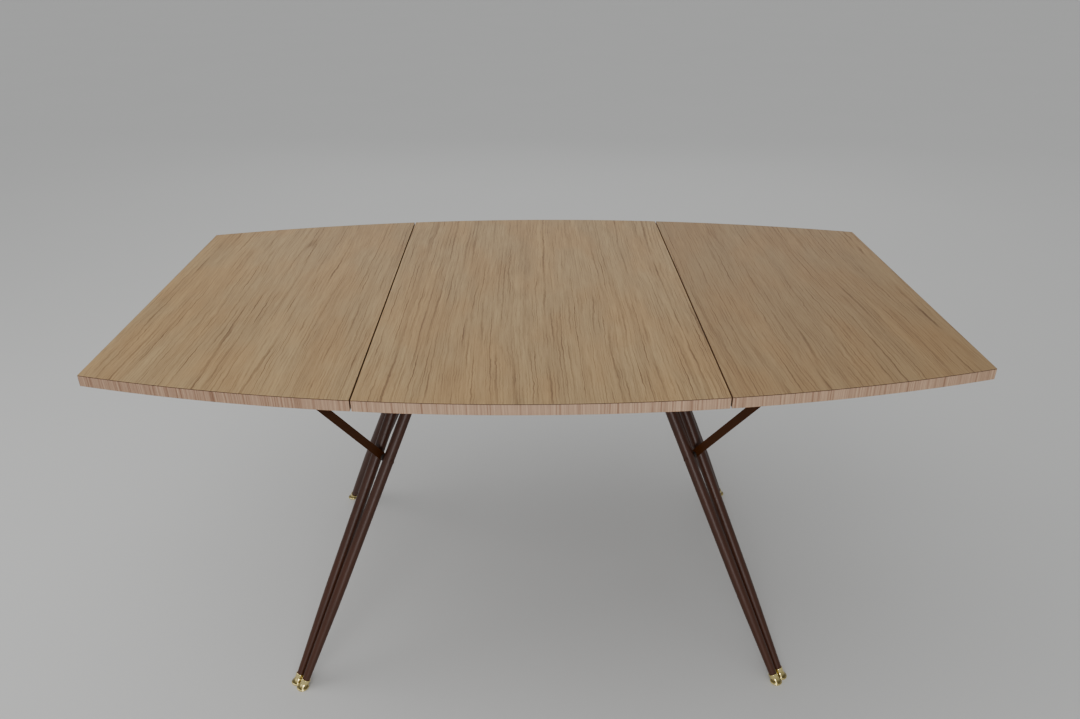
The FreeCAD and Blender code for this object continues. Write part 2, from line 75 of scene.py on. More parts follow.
# Fineness of the meshes
MERGE_REACH = 1e-6
LEVEL_REACH = 1e-5
SMOOTH_BELOW = math.radians(28)
EASED_ABOVE = math.radians(40)
ROUND_PROFILE = 0.5
CURVED_STEPS = 120
STRAIGHT_STEPS = 40
TUBE_SIDES = 48
TAPER_STEPS = 6
RUN_STEPS = 14
BEAD_SIDES = 8
CUP_SIDES = 56
ROLL_STEPS = 8
FLARE_STEPS = 10
BAR_END_STEPS = 20
HEAD_SIDES = 24
DOME_STEPS = 7

# How far a face's normal points upwards or along the table
FACING_UP = 0.3
FACING_END = 0.9

# Rounding of a strip, as a share of that of a sheet
STRIP_EASE = 0.6

# Tubes: shares of the taper's length where it softens and where the straight run's rings begin,
# share of a bead's radius that ripples, and the ripple's angle from one point to the next
TAPER_SOFT = 0.15
RUN_START = 0.9
RIPPLE = 0.14
RIPPLE_STEP = 2.6

# Cups: depth of the rolled rim as a share of its radius, waist as a share of the collar, and the
# power of the flare; then heights from a collar's start and from its end, with shares of its radius
ROLL_DEPTH = 0.85
WAIST = 0.955
FLARE_POWER = 2.4
COLLAR_START = ((0.0004, 0.985), (0.0010, 1.0))
COLLAR_LIP = ((-0.0026, 0.985), (-0.0020, 0.99), (-0.0012, 1.0), (-0.0004, 0.985), (0.0, 0.95),
              (-0.0001, 0.915), (-0.0008, 0.895))

# Heads: shank and seat as shares of the diameter, lift of the rim as a share of the height,
# and the slot's length and width as shares of the diameter, its level as a share of the height
SHANK = 0.27
SEAT = 0.49
RIM_LIFT = 0.06
SLOT_LONG = 1.4
SLOT_WIDE = 0.14
SLOT_LEVEL = 1.05

# Seed of the chance by which screws are turned
SPIN_SEED = 7

# Sockets that share their names: colours of the Mix node and numbers of the Random Value node
MIX_FIRST = 6
MIX_SECOND = 7
MIX_RESULT = 2
RANDOM_MAX = 3
RANDOM_NUMBER = 1

# Grain of each board: heart of its arches, seed, depth of tone and contrast of its marks; the right
# leaf's deeper tone and lower contrast are painted shade, as if less light fell on it
FIGURES = {
    "centre": ((0.055, 0.18), 3.0, 0.15, 1.05),
    "left_leaf": ((-0.520, 0.05), 8.0, 0.18, 1.0),
    "right_leaf": ((0.430, 0.10), 14.0, 0.38, 0.7),
}

# Marks of the grain: rates per metre across and along it, a line's width as a share of its spacing,
# and the weight of each kind in the tone
ARCHES = SimpleNamespace(across=56.0, along=2.0, width=0.15)
COARSE = SimpleNamespace(across=110.0, along=4.2, width=0.16)
FINE = SimpleNamespace(across=260.0, along=12.0, width=0.28)
BAND = SimpleNamespace(across=48.0, along=2.0)
STREAK = SimpleNamespace(across=420.0, along=12.0)
WEIGHTS = SimpleNamespace(line=0.44, band=0.6, streak=0.7, pore=0.14, cloud=0.15)

# A line of grain: noise between lines, noise where it shows and where it is full, and its full core
LINE_APART = 7.31
LINE_SHOWS = 0.36
LINE_FULL = 0.70
LINE_CORE = 0.3

# Where along X the strips darken towards the left as painted shade, up to which levels scuffs reach,
# between which levels the brass has its band of tarnish and painted dark reflection, and gloss
LEFT_SHADE_SPAN = (-0.25, -0.45)
SCUFFED = (0.03, 0.30)
# Levels of the band of tarnish and painted dark reflection on the brass feet
TARNISH_SHADE_STARTS = (0.0030, 0.0050)
TARNISH_SHADE_ENDS = (0.0070, 0.0125)
LEG_GLOSS = 0.40
BRACE_GLOSS = 0.15

# Stage: each lamp's name, place, target, size and watts, then the sun, the room and the camera
LAMPS = (
    ("front_light", (-0.6, -3.2, 3.0), (0, 0, 0.5), (1.8, 2.0), 32),
    ("low_front_light", (0.1, -4.2, 0.75), (0, 0, 0.4), (0.8, 1.2), 46),
    ("left_light", (-2.2, 0.0, 2.4), (0, 0, 0.75), (1.8, 1.8), 18),
    ("back_light", (0.2, 3.8, 2.2), (0, 0, 0.7), (4.5, 2.2), 13),
)
SUN_STRENGTH = 1.12
SUN_SPREAD = math.radians(100)
SUN_HEADING = Vector((0.3, 0.3, -1))
ROOM_COLOUR = (0.96, 0.98, 1.0, 1.0)
ROOM_STRENGTH = 0.36
FLOOR_REACH = 30.0
CAMERA_PLACE = (-0.01985, -1.58063, 1.40978)
CAMERA_TURN = (math.radians(90 - 27.38), 0.0, math.radians(-0.88))
LENS = 28.0
SENSOR = 36.0
CLIP_END = 200.0


# Sizes and colours that a user would change
def length(name, description, default):
    return bpy.props.FloatProperty(name=name, description=description, default=default,
                                   min=0.0, precision=4, unit="LENGTH")


def tone(name, description, red, green, blue):
    """Colour property whose default is given as it shows on a screen, 0 to 255."""
    steps = [c / 255 for c in (red, green, blue)]
    # The sRGB curve
    linear = [c / 12.92 if c <= 0.04045 else ((c + 0.055) / 1.055) ** 2.4 for c in steps]
    return bpy.props.FloatVectorProperty(name=name, description=description, default=linear,
                                         size=3, min=0.0, max=1.0, subtype="COLOR")


class TableSizes(bpy.types.PropertyGroup):
    end_width: length("End width", "Across each straight end of the top", 0.704)
    seam_gap: length("Seam gap", "Open gap between the centre and a leaf", 0.004)
    seam_lip: length("Seam lip", "How far sheets and strips stand into the seam gap", 0.0006)
    strip: length("Edge strip", "Thickness of the strips round a board", 0.0012)
    ease: length("Eased edge", "Rounding along the edges of sheets and strips", 0.0002)
    foot_x: length("Foot along", "Middle of a twin leg on the floor, along the table", 0.501)
    foot_y: length("Foot across", "Middle of a twin leg on the floor, across the table", 0.327)
    head_x: length("Head along", "Middle of a twin leg at its plate, along the table", 0.203)
    head_y: length("Head across", "Middle of a twin leg at its plate, across the table", 0.044)
    foot_spacing: length("Foot spacing", "Between the two tubes on the floor", 0.0206)
    head_spacing: length("Head spacing", "Between the two tubes at the plate", 0.0474)
    leg: length("Leg", "Diameter of a tube above its taper", 0.0226)
    leg_foot: length("Leg at the foot", "Diameter of a tube on the floor", 0.0146)
    taper: length("Taper", "Along a tube, from the floor to the top of its taper", 0.210)
    weld: length("Weld bead", "Radius of the bead round each tube at its plate", 0.0022)
    rim: length("Foot rim", "Diameter of a brass cup on the floor", 0.0248)
    rim_high: length("Rim height", "Height of that rim", 0.004)
    collar: length("Collar", "Diameter of a brass cup round its tube", 0.0184)
    collar_low: length("Collar start", "Along the tube from the floor to the collar", 0.011)
    collar_top: length("Collar end", "Along the tube from the floor to the lip", 0.020)
    socket: length("Socket floor", "From the floor to the end of a tube", 0.005)
    pivot: length("Pivot height", "From the floor to a brace's rivet", 0.450)
    brace_wide: length("Brace width", "Flat bar of a brace", 0.016)
    brace_thick: length("Brace thickness", "Flat bar of a brace", 0.0032)
    brace_ease: length("Brace rounding", "Rounding along the edges of a brace", 0.0009)
    rivet: length("Rivet head", "Diameter of a low rivet head", 0.011)
    rivet_high: length("Rivet head height", "Height of a low rivet head", 0.001)
    rivet_gap: length("Rivet gap", "From a tube to the face of its rivet head", 0.0002)
    screw: length("Screw head", "Diameter of a slotted screw head", 0.0072)
    screw_high: length("Screw head height", "Height of a slotted screw head", 0.002)
    plate_inset: length("Plate screws", "From a leg plate's edges to its screws", 0.010)
    hinge_pitch: length("Hinge pitch", "Between hinges along a seam", 0.300)
    hinge_row: length("Hinge screw row", "From a hinge pin to its screws", 0.021)
    hinge_screws: length("Hinge screw pitch", "Between screws along a hinge", 0.025)
    hinge_leaf: length("Hinge leaf", "Thickness of a hinge leaf", 0.0018)
    catch_screw: length("Catch screws", "From the middle of a catch to its screws", 0.026)
    catch_plate: length("Catch plate", "Thickness of a catch's plate", 0.002)
    brace_rise: bpy.props.FloatProperty(
        name="Brace rise", description="Slope of a brace with its leaf up",
        default=math.radians(53.7), subtype="ANGLE")


class TableTones(bpy.types.PropertyGroup):
    grain_light: tone("Grain, light", "Light wood between the grain lines", 174, 146, 103)
    grain_warm: tone("Grain, warm", "Warmer patches between the grain lines", 176, 143, 97)
    grain_dark: tone("Grain, dark", "Grain lines of the top", 100, 71, 45)
    strip_light: tone("Strip, light", "Light wood of the edge strips", 182, 151, 124)
    strip_dark: tone("Strip, dark", "Grain lines of the edge strips", 116, 82, 62)
    cut_edge: tone("Cut edge", "Dark cut edge of the grain sheets", 58, 34, 24)
    # The seam tone is painted shade: it darkens the strips inside the seam gaps
    seam: tone("Seam", "Stained strips in the seams of the top", 142, 106, 78)
    paint: tone("Leg paint", "Satin enamel of the legs, plates and rivet heads", 61, 29, 12)
    brace_paint: tone("Brace paint", "Satin enamel of the braces and catches", 60, 30, 6)
    brass: tone("Brass", "Polished feet", 232, 214, 148)
    # The tarnish colour also paints a dark reflection in the band above the brass rims
    tarnish_and_shade: tone("Tarnish", "Dull olive in the hollows of the brass", 72, 56, 20)
    zinc: tone("Plating", "Hinges, pins and screws", 178, 174, 166)
    backing: tone("Backing", "Brown sheet under the boards", 104, 74, 54)
    chip: tone("Board", "Pressed chips of the boards", 176, 142, 100)
    nylon: tone("Sleeves", "Dull sleeves beside the braces", 44, 38, 34)
    floor: tone("Floor", "Plain floor of the stage", 203, 203, 201)


# Shader maths as expressions
class Value:
    """A socket's value; arithmetic on numbers adds Math nodes."""

    def __init__(self, finish, socket):
        self.finish = finish
        self.socket = socket

    def math(self, operation, *values):
        return self.finish.node("ShaderNodeMath", {"operation": operation}, dict(enumerate(values)))

    def __add__(self, other):
        return self.math("ADD", self, other)

    def __radd__(self, other):
        return self.math("ADD", other, self)

    def __sub__(self, other):
        return self.math("SUBTRACT", self, other)

    def __rsub__(self, other):
        return self.math("SUBTRACT", other, self)

    def __mul__(self, other):
        return self.math("MULTIPLY", self, other)

    def __rmul__(self, other):
        return self.math("MULTIPLY", other, self)

    def __abs__(self):
        return self.math("ABSOLUTE", self)

    def root(self):
        return self.math("SQRT", self)

    def centred(self):
        """Noise about zero."""
        return self - 0.5

    def step(self, low, high):
        """Smooth rise from 0 to 1 between two values."""
        return self.finish.node("ShaderNodeMapRange", {"interpolation_type": "SMOOTHSTEP"},
                                {"Value": self, "From Min": low, "From Max": high})


class Finish:
    """A material that is put together node by node on Object coordinates."""

    def __init__(self, name):
        self.material = bpy.data.materials.new(name)
        self.material.use_nodes = True
        self.tree = self.material.node_tree
        self.tree.nodes.clear()
        self.place = self.node("ShaderNodeTexCoord", output="Object")

    def node(self, kind, settings=None, sockets=None, output=0):
        """Add a node: its settings first, then the values or links of its sockets."""
        made = self.tree.nodes.new(kind)
        for key, setting in (settings or {}).items():
            setattr(made, key, setting)
        for key, value in (sockets or {}).items():
            if isinstance(value, Value):
                self.tree.links.new(value.socket, made.inputs[key])
            else:
                made.inputs[key].default_value = value
        return Value(self, made.outputs[output]) if made.outputs else None

    def axis(self, word):
        return self.node("ShaderNodeSeparateXYZ", None, {0: self.place}, word)

    def point(self, x, y, z=0.0):
        return self.node("ShaderNodeCombineXYZ", None, {0: x, 1: y, 2: z})

    def stretched(self, scale, offset=(0, 0, 0)):
        return self.node("ShaderNodeMapping", None, {"Vector": self.place, "Location": offset,
                                                     "Scale": scale})

    def noise(self, vector, scale, detail, roughness=0.5):
        return self.node("ShaderNodeTexNoise", None, {"Vector": vector, "Scale": scale,
                                                      "Detail": detail, "Roughness": roughness})

    def lines(self, along, detail, roughness=0.5):
        """Noise along one number: lines of uneven width."""
        return self.node("ShaderNodeTexNoise", {"noise_dimensions": "1D"},
                         {"W": along, "Scale": 1.0, "Detail": detail, "Roughness": roughness})

    def veins(self, along, down, width):
        """One thin line for each whole number, its strength changing down its length."""
        which = along.math("FLOOR", along)
        chance = self.noise(self.point(which * LINE_APART, down), 1.0, 1.0)
        strength = chance.step(LINE_SHOWS, LINE_FULL)
        return abs(along - which - 0.5).step(width, width * LINE_CORE) * strength

    def cells(self, vector, scale):
        """A colour by chance for each cell."""
        return self.node("ShaderNodeTexVoronoi", None, {"Vector": vector, "Scale": scale}, "Color")

    def mix(self, share, first, second):
        """Blend two colours."""
        return self.node("ShaderNodeMix", {"data_type": "RGBA"},
                         {0: share, MIX_FIRST: paint(first), MIX_SECOND: paint(second)}, MIX_RESULT)

    def bump(self, height, depth, strength):
        return self.node("ShaderNodeBump", None, {"Strength": strength, "Distance": depth,
                                                  "Height": height})

    def surface(self, **sockets):
        """Close the material with a shader; underscores stand for the spaces of socket names."""
        named = {key.replace("_", " "): value for key, value in sockets.items()}
        named["Base Color"] = paint(named["Base Color"])
        shader = self.node("ShaderNodeBsdfPrincipled", None, named)
        self.node("ShaderNodeOutputMaterial", None, {"Surface": shader})
        return self.material


def paint(colour):
    """A link as it is, or a plain colour with its alpha."""
    return colour if isinstance(colour, Value) else tuple(colour)[:3] + (1.0,)


def finish_of(name, make, *words):
    """The finish of that name, made on its first use."""
    return bpy.data.materials.get(name) or make(name, *words)


# Finishes: scales and rates are per metre, bump depths are in metres, weights are shares
def grain_sheet(name, heart, seed, tone_and_shade, contrast):
    """Printed plain-sawn grain along Y, its arches nested about a heart line."""
    tones = bpy.context.scene.table_tones
    f = Finish(name)
    x, y = f.axis("X"), f.axis("Y")
    sway = f.noise(f.stretched((3.2, 0.9, 1.0), (seed, seed * 2.3, 0)), 1.0, 1.0)
    waver = f.noise(f.stretched((20.0, 6.0, 1.0), (seed * 3.1, seed, 0)), 1.0, 2.0, 0.55)
    jag = f.noise(f.stretched((90.0, 50.0, 1.0), (seed, 0, 0)), 1.0, 2.0, 0.6)
    across = x - heart[0] + sway.centred() * 0.08 + waver.centred() * 0.011 + jag.centred() * 0.0045
    depth = (y - heart[1]) * 0.075
    ring = (across * across + depth * depth).root()
    fade = f.noise(f.stretched((9.0, 2.2, 1.0), (seed * 1.7, 0, 0)), 1.0, 1.0).step(0.38, 0.62)
    uneven = f.lines(across * 24.0 + seed * 3, 2.0) * 2.4
    arches = f.veins(ring * ARCHES.across + uneven * 0.4, y * ARCHES.along, ARCHES.width) * fade
    coarse = f.veins(across * COARSE.across + uneven, y * COARSE.along + seed, COARSE.width)
    fine = f.veins(across * FINE.across + uneven * 2, y * FINE.along + seed, FINE.width)
    band = f.noise(f.point(across * BAND.across, y * BAND.along, seed), 1.0, 2.0)
    streak = f.noise(f.point(across * STREAK.across, y * STREAK.along, seed), 1.0, 2.0, 0.65)
    pore = f.noise(f.stretched((900.0, 60.0, 1.0), (0, seed, 0)), 1.0, 1.0).step(0.58, 0.72)
    cloud = f.noise(f.stretched((3.0, 1.4, 1.0), (seed * 4, 0, 0)), 1.0, 1.0)
    line = arches * 0.9 + coarse + fine * 0.7
    marks = (line * WEIGHTS.line + band.centred() * WEIGHTS.band + streak.centred() * WEIGHTS.streak
             + pore * WEIGHTS.pore + cloud.centred() * WEIGHTS.cloud)
    # On the right leaf the deeper tone and lower contrast paint shade onto the board
    share = tone_and_shade + marks * contrast
    patch = f.noise(f.stretched((11.0, 5.0, 1.0), (0, seed * 5, 0)), 1.0, 2.0).step(0.36, 0.66)
    light = f.mix(patch, tones.grain_light, tones.grain_warm)
    base = f.mix(share, light, tones.grain_dark)
    return f.surface(Base_Color=base, Roughness=0.46 + streak.centred() * 0.10 + line * 0.05,
                     Specular_IOR_Level=0.35, Normal=f.bump(streak - line * 0.5, 0.00006, 0.35))


def edge_strip(name, axis):
    """Printed grain that stands upright across the edge of a board, with painted shade that darkens it
    towards the left.
    """
    tones = bpy.context.scene.table_tones
    f = Finish(name)
    along = f.axis(axis) + f.axis("Z") * 0.03
    waver = f.noise(f.stretched((60.0, 60.0, 30.0)), 1.0, 1.0)
    step = along + waver.centred() * 0.002
    broad = f.lines(step * 45.0 + 4.0, 2.0, 0.6)
    fine = f.lines(step * 300.0, 2.0, 0.6)
    dark = f.lines(step * 130.0 + 9.0, 1.0, 0.5).step(0.60, 0.66)
    fleck = f.noise(f.stretched((900.0, 900.0, 70.0)), 1.0, 1.0).step(0.5, 0.75)
    # Painted shade: the strips darken towards the left end of the table
    left_shade = f.axis("X").step(*LEFT_SHADE_SPAN)
    share = (0.24 + left_shade * 0.19 + broad.centred() * 0.5 + fine.centred() * 1.5 + dark * 0.26
             + fleck * 0.14)
    base = f.mix(share, tones.strip_light, tones.strip_dark)
    return f.surface(Base_Color=base, Roughness=0.42 + fine * 0.08, Specular_IOR_Level=0.4,
                     Normal=f.bump(1.0 - fine, 0.00005, 0.3))


def cut_edge(name, colour):
    """Dark pressed-paper edge of a sheet or strip, with its layers."""
    f = Finish(name)
    layers = f.lines(f.axis("Z") * 5200.0, 1.0)
    mottle = f.noise(f.place, 420.0, 2.0)
    base = f.mix(layers * 0.5 + mottle * 0.3, colour, [c * 0.45 for c in colour])
    return f.surface(Base_Color=base, Roughness=0.5 + mottle * 0.1)


def enamel(name, colour, gloss):
    """Satin enamel on steel, with orange peel, cloudy gloss and a few scuffs near the floor."""
    f = Finish(name)
    peel = f.noise(f.place, 950.0, 2.0)
    cloud = f.noise(f.place, 14.0, 3.0)
    low = 1.0 - f.axis("Z").step(*SCUFFED)
    scuff = f.noise(f.stretched((260.0, 260.0, 30.0)), 1.0, 3.0, 0.7).step(0.66, 0.74) * low
    deep = f.mix(cloud.step(0.3, 0.75) * 0.35, colour, [c * 0.55 for c in colour])
    base = f.mix(scuff * 0.35, deep, [0.03 + c * 1.7 for c in colour])
    return f.surface(Base_Color=base, Roughness=0.37 + cloud * 0.08 + scuff * 0.2,
                     Specular_IOR_Level=gloss, Normal=f.bump(peel, 0.00008, 0.35))


def brass(name):
    """Polished brass, duller and browner in tarnished patches, and in the hollow above the rims darker
    with tarnish and a painted dark reflection.
    """
    tones = bpy.context.scene.table_tones
    f = Finish(name)
    patch = f.noise(f.place, 70.0, 4.0, 0.65).step(0.48, 0.78)
    # Band above the rims: tarnish with a painted dark reflection
    tarnish_and_shade_band = f.axis("Z").step(*TARNISH_SHADE_STARTS) * (1.0 - f.axis("Z").step(*TARNISH_SHADE_ENDS))
    hair = f.noise(f.stretched((140.0, 140.0, 2600.0)), 1.0, 2.0)
    dull = patch * 0.22 + tarnish_and_shade_band * 0.74
    base = f.mix(dull, tones.brass, tones.tarnish_and_shade)
    return f.surface(Base_Color=base, Metallic=1.0, Roughness=0.07 + dull * 0.20 + hair * 0.04,
                     Normal=f.bump(hair, 0.00003, 0.3))


def plating(name):
    """Plated steel with faint blotches and rolled-in lines."""
    tones = bpy.context.scene.table_tones
    f = Finish(name)
    blotch = f.noise(f.place, 55.0, 4.0, 0.7)
    rolled = f.noise(f.stretched((1500.0, 22.0, 1500.0)), 1.0, 2.0)
    base = f.mix(blotch.step(0.35, 0.75) * 0.5, tones.zinc, [c * 0.6 for c in tones.zinc])
    return f.surface(Base_Color=base, Metallic=1.0, Roughness=0.30 + blotch * 0.16 + rolled * 0.06,
                     Normal=f.bump(rolled, 0.00005, 0.3))


def backing(name):
    """Dull brown backing sheet with mottled fibres and sanding lines along Y."""
    tones = bpy.context.scene.table_tones
    f = Finish(name)
    mottle = f.noise(f.place, 24.0, 5.0, 0.7)
    sanding = f.noise(f.stretched((700.0, 4.0, 1.0)), 1.0, 2.0)
    fibre = f.noise(f.stretched((240.0, 130.0, 1.0)), 1.0, 3.0)
    shade = mottle * 0.5 + sanding * 0.3 + fibre * 0.3
    base = f.mix(shade.step(0.3, 0.85), tones.backing, [c * 0.55 for c in tones.backing])
    return f.surface(Base_Color=base, Roughness=0.62 + sanding * 0.12,
                     Normal=f.bump(sanding + fibre, 0.0001, 0.3))


def chipboard(name):
    """Pressed wood chips."""
    tones = bpy.context.scene.table_tones
    f = Finish(name)
    chips = f.cells(f.stretched((1.0, 1.0, 2.6)), 260.0)
    dust = f.noise(f.place, 600.0, 2.0)
    base = f.mix(f.node("ShaderNodeSeparateColor", None, {0: chips}) * 0.7, tones.chip,
                 [c * 0.5 for c in tones.chip])
    return f.surface(Base_Color=base, Roughness=0.8 + dust * 0.1, Normal=f.bump(dust, 0.0002, 0.4))


def dull_nylon(name):
    """Moulded nylon."""
    tones = bpy.context.scene.table_tones
    f = Finish(name)
    grain = f.noise(f.place, 800.0, 2.0)
    base = f.mix(grain * 0.4, tones.nylon, [c * 1.6 for c in tones.nylon])
    return f.surface(Base_Color=base, Roughness=0.5 + grain * 0.12,
                     Normal=f.bump(grain, 0.0001, 0.3))


def plain_floor(name):
    """Pale matt floor with the faintest cloudiness."""
    tones = bpy.context.scene.table_tones
    f = Finish(name)
    cloud = f.noise(f.place, 1.3, 4.0)
    base = f.mix(cloud * 0.25, tones.floor, [c * 0.86 for c in tones.floor])
    return f.surface(Base_Color=base, Roughness=0.75)


def paint_finish():
    return finish_of("leg_enamel", enamel, bpy.context.scene.table_tones.paint, LEG_GLOSS)


def brace_finish():
    return finish_of("brace_enamel", enamel, bpy.context.scene.table_tones.brace_paint, BRACE_GLOSS)


# Darker strips in the seams: painted shade of the seam gaps
def seam_shade_finish():
    return finish_of("seam_stain", cut_edge, bpy.context.scene.table_tones.seam)


def steel_finish():
    return finish_of("plated_steel", plating)


# Mesh helpers
def close_mesh(name, bm):
    """Merge, face outwards, shade smooth between sharp edges, and make a mesh."""
    bmesh.ops.remove_doubles(bm, verts=bm.verts, dist=MERGE_REACH)
    bmesh.ops.recalc_face_normals(bm, faces=bm.faces)
    for face in bm.faces:
        face.smooth = True
    for edge in bm.edges:
        edge.smooth = len(edge.link_faces) == 2 and edge.calc_face_angle() < SMOOTH_BELOW
    mesh = bpy.data.meshes.new(name)
    bm.to_mesh(mesh)
    bm.free()
    return mesh


def loft(bm, rings, closed=False):
    """Skin rings of points with quads, and cap the two ends or join them."""
    rows = [[bm.verts.new(p) for p in ring] for ring in rings]
    count = len(rows[0])
    for low, high in zip(rows, rows[1:] + rows[:1] if closed else rows[1:]):
        for i in range(count):
            j = (i + 1) % count
            bm.faces.new((low[i], low[j], high[j], high[i]))
    if not closed:
        bm.faces.new(reversed(rows[0]))
        bm.faces.new(rows[-1])
    return rows


def ease(bm, edges, width, segments=2):
    """Round edges over."""
    bmesh.ops.bevel(bm, geom=list(edges), offset=width, segments=segments, profile=ROUND_PROFILE,
                    affect="EDGES", clamp_overlap=True)


def sharp_edges(bm):
    return [e for e in bm.edges if len(e.link_faces) == 2 and e.calc_face_angle() > EASED_ABOVE]


def add_piece(name, mesh, body, slot, nodes, *finishes):
    """Add a finished piece at the origin, riding on its body in place of its nodes."""
    for finish in finishes:
        mesh.materials.append(finish)
    piece = bpy.data.objects.new(name, mesh)
    bpy.context.scene.collection.objects.link(piece)
    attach(piece, body)
    if nodes:
        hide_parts(*nodes)


def dress(finish, *nodes):
    """Give nodes that stay as they are a better finish."""
    for node in nodes:
        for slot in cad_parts[node].material_slots:
            slot.material = finish


def scratch(name, mesh):
    """An object that is only there while a piece is worked out."""
    item = bpy.data.objects.new(name, mesh)
    bpy.context.scene.collection.objects.link(item)
    return item


def baked(item):
    """Plain mesh of an object with its modifiers worked in; the object goes."""
    graph = bpy.context.evaluated_depsgraph_get()
    mesh = bpy.data.meshes.new_from_object(item.evaluated_get(graph))
    item.modifiers.clear()
    bpy.data.objects.remove(item)
    return mesh


def combined(name, first, second, operation):
    """Boolean of two closed meshes."""
    base = scratch(name + "_base", first)
    tool = scratch(name + "_tool", second)
    joint = base.modifiers.new("joint", "BOOLEAN")
    joint.operation = operation
    joint.solver = "EXACT"
    joint.object = tool
    mesh = baked(base)
    bpy.data.objects.remove(tool)
    bm = bmesh.new()
    bm.from_mesh(mesh)
    mesh.name = name + "_scratch"
    return close_mesh(name, bm)


# Where things lie
def top():
    """Levels and long edges of the top, from the frame."""
    sizes = bpy.context.scene.table_sizes
    low, high = (Vector(p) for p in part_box("centre_top_sheet"))
    half = CAD_BOX[1].x
    width = CAD_BOX[1].y
    sag = width - sizes.end_width / 2
    return SimpleNamespace(level=high.z, sheet=low.z, under=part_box("centre_backer")[0][2],
                           half=half, width=width, seam=high.x,
                           radius=(half ** 2 + sag ** 2) / (2 * sag))


def edge_y(t, x, inset=0.0):
    """Half of the top's width at x, less an inset."""
    return t.width - t.radius + math.sqrt((t.radius - inset) ** 2 - x ** 2)


def boards(t):
    """Name, body, start and stop of each board along the table."""
    sizes = bpy.context.scene.table_sizes
    near = t.seam + sizes.seam_lip
    far = t.seam + sizes.seam_gap - sizes.seam_lip
    return (("centre", "base", -near, near),
            ("left_leaf", "left_leaf_board", -t.half, -far),
            ("right_leaf", "right_leaf_board", far, t.half))


def spread(start, stop, count):
    """Numbers from start to stop in even steps, both ends included."""
    return [start + (stop - start) * i / count for i in range(count + 1)]


def twin(side_x, side_y):
    """Axes, pivot and directions of the twin leg at one corner."""
    s = bpy.context.scene.table_sizes
    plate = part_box("left_leg_plate")[0][2]
    foot = Vector((side_x * s.foot_x, side_y * s.foot_y, 0))
    head = Vector((side_x * s.head_x, side_y * s.head_y, plate))
    out = Vector((foot.x - head.x, foot.y - head.y, 0)).normalized()
    across = Vector((side_x * abs(out.y), -side_y * abs(out.x), 0))
    share = s.pivot / plate
    tubes = {word: (foot + across * (sign * s.foot_spacing / 2),
                    head + across * (sign * s.head_spacing / 2))
             for word, sign in (("outer", 1), ("inner", -1))}
    spacing = s.foot_spacing + (s.head_spacing - s.foot_spacing) * share
    return SimpleNamespace(out=out, across=across, tubes=tubes, plate=plate,
                           pivot=foot + (head - foot) * share, reach=(spacing + s.leg) / 2)


def around(axis, towards):
    """Two directions square to an axis, the first one nearest to a given direction."""
    first = (towards - axis * towards.dot(axis)).normalized()
    return first, axis.cross(first)


def circle(centre, first, second, radius, count):
    return [centre + first * (radius * math.cos(a)) + second * (radius * math.sin(a))
            for a in (2 * math.pi * i / count for i in range(count))]


# Repeats: one fitting on many seats
def seats_tree():
    """Geometry Nodes that put a fitting on each seat, turned as the seat says."""
    name = "Fittings on seats"
    if name in bpy.data.node_groups:
        return bpy.data.node_groups[name]
    tree = bpy.data.node_groups.new(name, "GeometryNodeTree")
    for word, kind in (("Seats", "NodeSocketGeometry"), ("Fitting", "NodeSocketObject"),
                       ("Spin", "NodeSocketFloat"), ("Seed", "NodeSocketInt"),
                       ("Finish", "NodeSocketMaterial")):
        tree.interface.new_socket(word, in_out="INPUT", socket_type=kind)
    tree.interface.new_socket("Fittings", in_out="OUTPUT", socket_type="NodeSocketGeometry")

    def node(kind, sockets=None, **settings):
        made = tree.nodes.new(kind)
        for key, setting in settings.items():
            setattr(made, key, setting)
        for key, value in (sockets or {}).items():
            if isinstance(value, bpy.types.NodeSocket):
                tree.links.new(value, made.inputs[key])
            else:
                made.inputs[key].default_value = value
        return made

    given = node("NodeGroupInput").outputs
    turn = node("GeometryNodeInputNamedAttribute", {"Name": "turn"}, data_type="FLOAT_VECTOR")
    facing = node("FunctionNodeEulerToRotation", {0: turn.outputs["Attribute"]})
    fitting = node("GeometryNodeObjectInfo", {"Object": given["Fitting"], "As Instance": True})
    placed = node("GeometryNodeInstanceOnPoints", {
        "Points": given["Seats"], "Instance": fitting.outputs["Geometry"],
        "Rotation": facing.outputs[0]})
    chance = node("FunctionNodeRandomValue", {RANDOM_MAX: given["Spin"], "Seed": given["Seed"]},
                  data_type="FLOAT")
    angles = node("ShaderNodeCombineXYZ", {"Z": chance.outputs[RANDOM_NUMBER]})
    spin = node("FunctionNodeEulerToRotation", {0: angles.outputs[0]})
    spun = node("GeometryNodeRotateInstances", {"Instances": placed.outputs[0],
                                                "Rotation": spin.outputs[0], "Local Space": True})
    real = node("GeometryNodeRealizeInstances", {0: spun.outputs[0]})
    done = node("GeometryNodeSetMaterial", {"Geometry": real.outputs[0],
                                            "Material": given["Finish"]})
    node("NodeGroupOutput", {0: done.outputs[0]})
    return tree


def on_seats(name, fitting_mesh, seats, finish, spin=0.0):
    """Mesh of a fitting on every seat, each seat a point and the turn of its axis."""
    mesh = bpy.data.meshes.new(name + "_seats")
    mesh.from_pydata([point for point, _ in seats], [], [])
    turns = mesh.attributes.new("turn", "FLOAT_VECTOR", "POINT")
    for entry, (_, matrix) in zip(turns.data, seats):
        entry.vector = matrix.to_euler()
    holder = scratch(name + "_holder", mesh)
    fitting = scratch(name + "_fitting", fitting_mesh)
    modifier = holder.modifiers.new("seats", "NODES")
    modifier.node_group = seats_tree()
    words = {item.name: item.identifier for item in modifier.node_group.interface.items_tree}
    inputs = {"Fitting": fitting, "Spin": spin, "Seed": SPIN_SEED, "Finish": finish}
    for word, value in inputs.items():
        modifier[words[word]] = value
    result = baked(holder)
    bpy.data.objects.remove(fitting)
    result.name = name
    return result


def facing(axis):
    """Turn that carries +Z onto a direction."""
    return axis.to_track_quat("Z", "Y").to_matrix()


